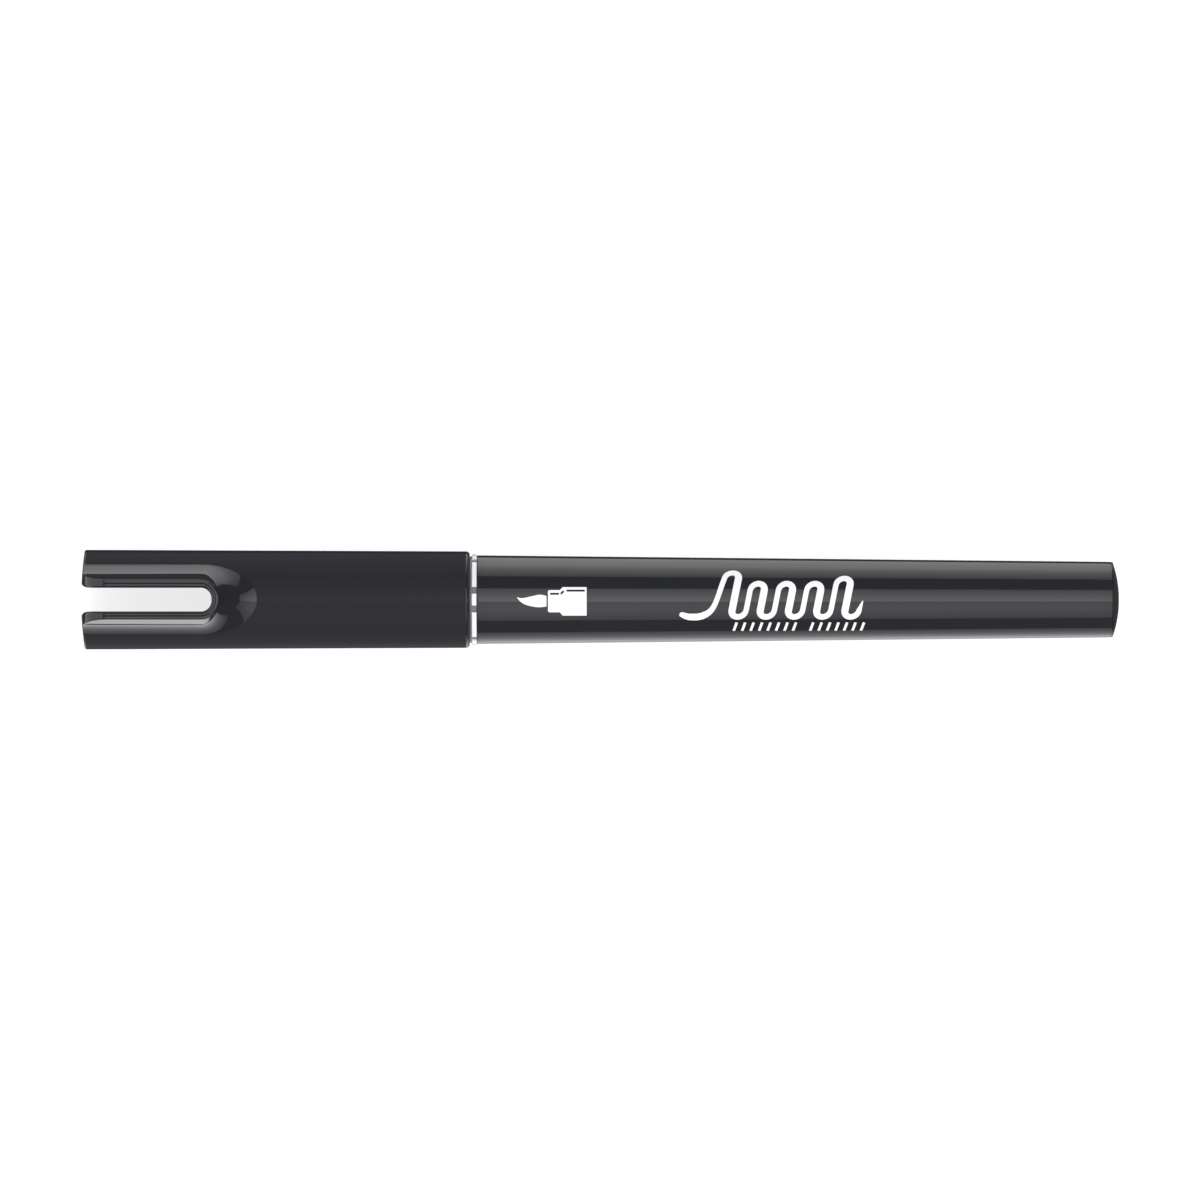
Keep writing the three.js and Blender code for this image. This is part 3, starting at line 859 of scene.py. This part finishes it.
def build_barrel():
    """The barrel: a tapered tube, with a straight socket at each end for the holder and the tail plug."""
    front_socket_radius = SPIGOT_RADIUS + RUNNING_GAP
    front_socket_x = section_high.x + 0.4
    plug_socket_x = plug_low.x - 1.0
    bore = BARREL_FRONT_RADIUS - 1.27
    profile = rounded([
        (BARREL_FRONT_X, front_socket_radius, 0.1),
        (BARREL_FRONT_X, BARREL_FRONT_RADIUS, 0.14),
        (BARREL_REAR_X, BARREL_REAR_RADIUS, 0.12),
        (BARREL_REAR_X, PLUG_SOCKET_RADIUS, 0.1),
        (plug_socket_x, PLUG_SOCKET_RADIUS, 0.2),
        (front_socket_x, bore, 0.2),
        (front_socket_x, front_socket_radius, 0.1),
    ], closed=True)
    barrel = revolved("barrel_tube", subdivided(profile, 1.5, closed=True), closed=True,
                      segments=OUTSIDE_SEGMENTS)
    smooth(barrel)
    barrel.data.materials.append(barrel_gloss())
    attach(barrel, "pen")
    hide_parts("barrel")


def build_plug():
    """The tail: a shallow dome with a flat in its middle, over a hollow spigot that fits in the barrel."""
    dome_radius = 15.3
    flat_radius = 1.25
    rim_radius = 5.0
    flange_x = BARREL_REAR_X + 0.02
    spigot_radius = PLUG_SOCKET_RADIUS - RUNNING_GAP
    hollow_radius = PLUG_SOCKET_RADIUS - 0.85
    hollow_end_x = -1.5
    flat_angle = math.asin(flat_radius / dome_radius)
    rim_angle = math.asin(rim_radius / dome_radius)
    centre_x = plug_high.x - dome_radius * math.cos(flat_angle)
    dome = arc_points(centre_x, 0, dome_radius, math.degrees(flat_angle), math.degrees(rim_angle), 24)
    spigot = rounded([
        (*dome[-1], 0),
        (flange_x, BARREL_REAR_RADIUS, 0.05),
        (flange_x, spigot_radius, 0.05),
        (plug_low.x, spigot_radius, 0.3),
        (plug_low.x, hollow_radius, 0.1),
        (hollow_end_x, hollow_radius, 0.3),
        (hollow_end_x, 0, 0),
    ], closed=False)
    profile = [(plug_high.x, 0), *dome[:-1], *spigot]
    plug = smooth(revolved("tail_end", profile, segments=OUTSIDE_SEGMENTS))
    plug.data.materials.append(barrel_gloss())
    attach(plug, "pen")
    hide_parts("tail_plug")


def build_reservoir():
    """The fibre rod that holds the ink, with a hole for the nib's end, and the film wrapped round it."""
    radius = core_high.y
    hole = root_high.y + RUNNING_GAP
    hole_end_x = core_low.x + 4.3
    film_thickness = 0.22
    profile = rounded([
        (core_high.x, 0, 0),
        (core_high.x, radius, 0.25),
        (core_low.x, radius, 0.25),
        (core_low.x, hole, 0.15),
        (hole_end_x, hole, 0.3),
        (hole_end_x, 0, 0),
    ], closed=False)
    core = smooth(revolved("ink_reservoir", subdivided(profile, 2.0, closed=False)))
    core.data.materials.append(fibre("reservoir_fibres", (0.01, 0.01, 0.014), (0.035, 0.035, 0.045),
                                     streak_size=0.0003, depth=0.00004))
    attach(core, "pen")
    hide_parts("reservoir_core")
    wrap_profile = rounded([
        (film_high.x, film_high.y - film_thickness, 0.02),
        (film_high.x, film_high.y, 0.05),
        (film_low.x, film_high.y, 0.05),
        (film_low.x, film_high.y - film_thickness, 0.02),
    ], closed=True)
    film = smooth(revolved("reservoir_wrap", subdivided(wrap_profile, 2.0, closed=True), closed=True))
    film.data.materials.append(wrapping_film())
    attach(film, "pen")
    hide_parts("reservoir_film")


# ---- The print on the barrel ----

# How far the ink stands above the barrel, and how far it reaches down into it.
INK_HEIGHT = 0.03
INK_SINK = 0.03


def printed(name, outlines, material):
    """Ink laid on the barrel. Outlines are closed loops of (x, distance round the barrel) in millimetres."""
    shape = bmesh.new()
    edges = []
    for outline in outlines:
        corners = [shape.verts.new((x, s, 0)) for x, s in outline]
        edges += [shape.edges.new((a, b)) for a, b in zip(corners, corners[1:] + corners[:1])]
    bmesh.ops.triangle_fill(shape, use_beauty=True, edges=edges)
    spacing = 0.3
    reach = max(abs(s) for outline in outlines for _, s in outline)
    for k in range(-math.ceil(reach / spacing), math.ceil(reach / spacing) + 1):
        geometry = shape.verts[:] + shape.edges[:] + shape.faces[:]
        bmesh.ops.bisect_plane(shape, geom=geometry, plane_co=(0, k * spacing, 0), plane_no=(0, 1, 0))
    bottom = shape.faces[:]
    raised = bmesh.ops.extrude_face_region(shape, geom=bottom)
    tops = {v for v in raised["geom"] if isinstance(v, bmesh.types.BMVert)}
    for corner in shape.verts:
        x, s = corner.co.x, corner.co.y
        radius = barrel_radius_at(x) + (INK_HEIGHT if corner in tops else -INK_SINK)
        angle = s / barrel_radius_at(x)
        corner.co = Vector((x, radius * math.sin(angle), radius * math.cos(angle))) * MM
    bmesh.ops.recalc_face_normals(shape, faces=shape.faces)
    mesh = bpy.data.meshes.new(name)
    shape.to_mesh(mesh)
    shape.free()
    ink = add_object(name, mesh)
    mesh.shade_smooth()
    mesh.set_sharp_from_angle(angle=math.radians(40))
    mesh.materials.append(material)
    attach(ink, "pen")
    return ink


def curve_points(points, steps):
    """A smooth curve through points, by Catmull and Rom's formula."""
    ends = [2 * points[0] - points[1], *points, 2 * points[-1] - points[-2]]
    made = []
    for a, b, c, d in zip(ends, ends[1:], ends[2:], ends[3:]):
        for k in range(steps):
            t = k / steps
            made.append(0.5 * (2 * b + (c - a) * t + (2 * a - 5 * b + 4 * c - d) * t * t
                               + (3 * b - a - 3 * c + d) * t ** 3))
    made.append(points[-1])
    return made


def brush_stroke(line):
    """The outline of a stroke along a line of points, whose third number is the stroke's width there."""
    left = []
    right = []
    for i, here in enumerate(line):
        along = (line[min(i + 1, len(line) - 1)] - line[max(i - 1, 0)]).to_2d().normalized()
        side = Vector((-along.y, along.x)) * here.z / 2
        left.append(tuple(here.to_2d() + side))
        right.append(tuple(here.to_2d() - side))
    return left + right[::-1]


def nib_sign(ink):
    """A small drawing of a brush nib in its stepped holder."""
    tip_x = BARREL_FRONT_X + 5.4
    nib_end = tip_x + 4.0
    upper = curve_points([Vector((tip_x, 0.32)), Vector((tip_x + 0.8, 0.2)), Vector((tip_x + 2.1, 0.47)),
                          Vector((nib_end - 0.9, 0.66)), Vector((nib_end, 0.5))], 8)
    lower = curve_points([Vector((nib_end, -0.93)), Vector((tip_x + 2.8, -1.02)),
                          Vector((tip_x + 1.3, -0.72)), Vector((tip_x + 0.44, -0.22)),
                          Vector((tip_x, 0.32))], 8)
    outline = [tuple(p) for p in upper + lower[:-1]]
    printed("print_nib", [outline], ink)
    start = nib_end + 0.2
    step = start + 1.6
    chamfer = 0.38
    end = nib_end + 5.4
    holder = rounded([
        (start, -1.72, 0.25), (start, 1.28, 0.2), (step, 1.28, 0.05), (step + chamfer, 1.7, 0.05),
        (end, 1.7, 0.05), (end, -2.19, 0.05), (step + chamfer, -2.19, 0.1), (step, -1.72, 0.05),
    ], closed=True)
    line = 0.26
    gaps = [bar((start + 0.3, 0.78), (step - 0.12, 0.78), line),
            bar((step + 0.12, 0.76), (step + 0.52, 1.16), line),
            bar((step + 0.9, 1.21), (end - 0.25, 1.21), line)]
    printed("print_holder", [holder, *gaps], ink)
    printed("print_holder_lines", gaps, line_ink())


def bar(start, end, thickness):
    """The outline of a straight line with square ends."""
    a, b = Vector(start), Vector(end)
    along = (b - a).normalized()
    side = Vector((-along.y, along.x)) * thickness / 2
    return [tuple(a + side), tuple(b + side), tuple(b - side), tuple(a - side)]


def stroke_sample(ink):
    """A brush exercise: a long entry stroke into a row of even waves, over two rows of short ticks."""
    left = BARREL_FRONT_X + 27.7
    slant = 0.2
    bend = 0.95
    heavy, light = 0.95, 0.7
    first_turn = 6.0
    crests = [3.9, 2.2, 2.2, 2.2, 3.0]
    trough = -2.4
    entry = [(0.0, -1.95, 0.3), (0.3, -2.05, 0.7), (1.5, -2.4, heavy), (3.2, -2.2, heavy), (4.4, -0.9, light),
             (first_turn - bend, crests[0] - bend, light)]
    line = curve_points([Vector(point) for point in entry], 8)

    def half_turn(centre_x, centre_s, direction, width_from, width_to):
        """Points of a half circle from left to right, over the top or round the bottom."""
        steps = 12
        for k in range(steps + 1):
            a = math.pi * (1 - k / steps)
            width = width_from + (width_to - width_from) * k / steps
            across = centre_s + direction * bend * math.sin(a)
            line.append(Vector((centre_x + bend * math.cos(a), across, width)))

    for k, crest in enumerate(crests):
        crest_x = first_turn + 4 * bend * k
        half_turn(crest_x, crest - bend, 1, light, heavy)
        half_turn(crest_x + 2 * bend, trough + bend, -1, heavy, light)
    line.append(line[-1] + Vector((0.25, 1.3, 0.12 - light)))
    slanted = [Vector((left + point.x + slant * point.y, point.y, point.z)) for point in line]
    printed("print_wave", [brush_stroke(slanted)], ink)
    tick_pitch = 1.14
    tick_lean = 0.4
    tick_foot, tick_head = -4.7, -3.25
    tick_width = 0.34
    for row, (first_x, ticks) in enumerate([(left + 6.9, 8), (left + 17.2, 7)]):
        for k in range(ticks):
            x = first_x + tick_pitch * k
            tick = bar((x, tick_foot), (x + tick_lean, tick_head), tick_width)
            printed(f"print_tick_{row + 1}_{k + 1}", [tick], ink)


def build_print():
    ink = print_ink()
    nib_sign(ink)
    stroke_sample(ink)


# ---- The studio ----

FLOOR_GLOW = 0.76
FLOOR_TONE = 0.42


def build_floor():
    """A white light table that the cap rests on. It stays out of the gloss, like the ends of the room."""
    floor_z = -cap_high.y
    half = 3000
    mottle = 0.02
    floor = mesh_from("floor", [(-half, -half, floor_z), (half, -half, floor_z), (half, half, floor_z),
                                (-half, half, floor_z)], [[0, 1, 2, 3]])
    shader = Shader("floor_white")
    shader.set(Roughness=0.9, Specular_IOR_Level=0.0, Emission_Strength=FLOOR_GLOW)
    shader.set(Emission_Color=(1, 1, 1, 1))
    low, high = FLOOR_TONE * (1 - mottle), FLOOR_TONE * (1 + mottle)
    shader.join(shader.colours(shader.noise(3, detail=2), (low, low, low), (high, high, high)), "Base Color")
    floor.data.materials.append(shader.material)
    floor.visible_glossy = False


# Long light panels that run beside the pen, as the gloss mirrors them. Each spans two angles, in degrees from
# straight overhead towards +Y, with its brightness at each, and how far it reaches towards -X and +X.
PANELS = [
    (-172, -149.8, 0.45, 1.3, -0.6, 0.6),
    (-149.8, -130, 1.75, 1.5, -0.6, 0.6),
    (-130, -97, 1.5, 0.55, -0.6, 0.6),
    (-57, -26, 0.65, 1.3, -0.2, 1.12),
    (-26, -5.5, 1.3, 1.1, -0.2, 1.12),
    (-5.5, 29.5, 2.35, 0.9, -0.2, 1.12),
    (64, 104, 0.7, 2.2, -0.6, 0.6),
    (104, 144, 2.2, 0.9, -0.6, 0.6),
]
# The share of a panel's brightness that is left at its far end.
PANEL_END_BRIGHTNESS = 0.45
# A panel that faces the cap's closed end, by its angles from straight overhead towards -X.
END_PANEL = (20, 128, 1.3, 1.3)
END_PANEL_REACH = 1.0
GAP_BRIGHTNESS = 0.06
SKY_LOW = 0.5
SKY_HIGH = 1.5
# How much the sky darkens towards +Y, and brightens towards -Y.
SKY_TILT = 0.3
# How softly the panels fade out: along their long edges, in degrees, and at their ends.
PANEL_EDGE = 0.7
END_PANEL_EDGE = 1.5
PANEL_END_FADE = 0.05


def studio_world():
    """A plain pale sky for the lighting, and dark surroundings with long light panels for the reflections."""
    world = bpy.data.worlds.new("studio")
    bpy.context.scene.world = world
    world.use_nodes = True
    nodes = world.node_tree.nodes
    links = world.node_tree.links
    nodes.clear()

    def fill(made, values):
        for socket, value in zip(made.inputs, values):
            if isinstance(value, bpy.types.NodeSocket):
                links.new(value, socket)
            else:
                socket.default_value = value
        return made.outputs[0]

    def calculate(operation, *values):
        made = nodes.new("ShaderNodeMath")
        made.operation = operation
        return fill(made, values)

    def ranged(value, low, high, at_low, at_high):
        """at_low up to low, at_high from high on, and a straight change between."""
        return fill(nodes.new("ShaderNodeMapRange"), (value, low, high, at_low, at_high))

    def window(value, low, high, soft):
        """1 between low and high, and 0 outside."""
        rise = ranged(value, low - soft, low + soft, 0.0, 1.0)
        fall = ranged(value, high - soft, high + soft, 1.0, 0.0)
        return calculate("MULTIPLY", rise, fall)

    direction = nodes.new("ShaderNodeTexCoord").outputs["Generated"]
    split = nodes.new("ShaderNodeSeparateXYZ")
    links.new(direction, split.inputs[0])
    x, y, z = split.outputs

    def angle_and_reach(sideways, lengthways):
        """The angle from overhead in one upright plane, in degrees, and how far off that plane a ray goes."""
        in_plane = calculate("SQRT", calculate("ADD", calculate("MULTIPLY", sideways, sideways),
                                               calculate("MULTIPLY", z, z)))
        return (calculate("DEGREES", calculate("ARCTAN2", sideways, z)),
                calculate("DIVIDE", lengthways, calculate("MAXIMUM", in_plane, 0.001)))

    angle, along = angle_and_reach(y, x)
    off_plane = calculate("ABSOLUTE", along)
    reflected = GAP_BRIGHTNESS
    for low, high, at_low, at_high, reach_back, reach_on in PANELS:
        lit = calculate("MULTIPLY", window(angle, low, high, PANEL_EDGE),
                        ranged(angle, low, high, at_low, at_high))
        lit = calculate("MULTIPLY", lit, window(along, reach_back, reach_on, PANEL_END_FADE))
        dimming = ranged(off_plane, 0.0, reach_on, 1.0, PANEL_END_BRIGHTNESS)
        reflected = calculate("MULTIPLY_ADD", lit, dimming, reflected)
    end_angle, across = angle_and_reach(calculate("MULTIPLY", x, -1.0), y)
    low, high, at_low, at_high = END_PANEL
    lit = calculate("MULTIPLY", window(end_angle, low, high, END_PANEL_EDGE),
                    ranged(end_angle, low, high, at_low, at_high))
    lit = calculate("MULTIPLY", lit, window(across, -END_PANEL_REACH, END_PANEL_REACH, PANEL_END_FADE))
    reflected = calculate("MAXIMUM", lit, reflected)
    sky = calculate("MULTIPLY_ADD", y, -SKY_TILT, ranged(z, 0.0, 1.0, SKY_LOW, SKY_HIGH))

    def background(strength):
        made = nodes.new("ShaderNodeBackground")
        made.inputs["Color"].default_value = (1, 1, 1, 1)
        if isinstance(strength, bpy.types.NodeSocket):
            links.new(strength, made.inputs["Strength"])
        else:
            made.inputs["Strength"].default_value = strength
        return made.outputs[0]

    rays = nodes.new("ShaderNodeLightPath").outputs
    lighting = fill(nodes.new("ShaderNodeMixShader"),
                    (rays["Is Glossy Ray"], background(sky), background(reflected)))
    seen = fill(nodes.new("ShaderNodeMixShader"), (rays["Is Camera Ray"], lighting, background(1.0)))
    output = nodes.new("ShaderNodeOutputWorld")
    links.new(seen, output.inputs["Surface"])


# The pen lies this far above the picture's middle, in millimetres.
LOOK_ASIDE = -0.05


def build_camera():
    """Straight above the middle of the pen, through a long lens."""
    distance = 1.6
    picture_width = 0.162
    sensor = 36.0
    lens = bpy.data.cameras.new("camera")
    lens.sensor_width = sensor
    lens.lens = sensor * distance / picture_width
    lens.clip_end = 50
    camera = add_object("camera", lens)
    middle_x = (CAP_END_X + plug_high.x) / 2 * MM
    camera.location = (middle_x, LOOK_ASIDE * MM, distance)
    bpy.context.scene.camera = camera


build_cap()
build_liner()
build_section()
build_bush()
build_nib()
build_barrel()
build_plug()
build_reservoir()
build_print()
build_floor()
studio_world()
build_camera()
bpy.context.scene.view_settings.view_transform = "Standard"
